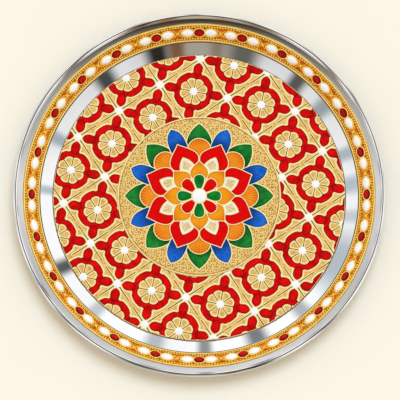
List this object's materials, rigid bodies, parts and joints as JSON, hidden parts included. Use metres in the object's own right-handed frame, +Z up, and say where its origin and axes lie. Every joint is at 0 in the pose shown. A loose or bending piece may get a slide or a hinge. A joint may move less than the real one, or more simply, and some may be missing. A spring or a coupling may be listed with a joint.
{
  "type": "puja thali",
  "caption": "Round shallow steel puja tray with a rolled edge, an enamelled gold floor sheet, a raised lotus medallion and a sloping gold rim band set with red and white stones.",
  "frame": {"origin": "middle of the flat underside, on the surface that the tray stands on", "axes": "+Z up along the tray's own axis; the lotus medallion points a green petal along +X and one along +Y"},
  "size_m": [0.3, 0.3, 0.0156],
  "materials": {
    "steel": "polished stainless steel",
    "adhesive": "cured clear glue",
    "floor_gold": "embossed, pale matte gold lacquer",
    "medallion_gold": "stippled, pale matte gold lacquer",
    "band_gold": "embossed, bright orange gold lacquer",
    "floor_red": "gloss cold enamel",
    "red_enamel": "gloss cold enamel",
    "green_enamel": "gloss cold enamel",
    "blue_enamel": "gloss cold enamel",
    "orange_enamel": "gloss cold enamel",
    "cream_enamel": "gloss cold enamel",
    "white_enamel": "gloss cold enamel",
    "white_stone": "polished opaque stone",
    "red_stone": "polished dark stone"
  },
  "bodies": {
    "root": {"steel_thali": "steel", "floor_adhesive": "adhesive", "floor_sheet": "floor_gold", "floor_red_enamel": "floor_red", "flower_centre_dots": "white_enamel", "lattice_crossing_dots": "white_enamel", "medallion_adhesive": "adhesive", "medallion_disc": "medallion_gold", "medallion_green_petals": "green_enamel", "medallion_blue_petals": "blue_enamel", "medallion_outer_orange_petals": "orange_enamel", "medallion_red_petals": "red_enamel", "medallion_cream_petals": "cream_enamel", "medallion_inner_orange_petals": "orange_enamel", "medallion_centre_green_drops": "green_enamel", "medallion_centre_red_drops": "red_enamel", "medallion_centre_stone": "white_stone", "rim_band_adhesive": "adhesive", "rim_band": "band_gold", "rim_white_stones": "white_stone", "rim_red_stones": "red_stone"}
  },
  "joints": []
}
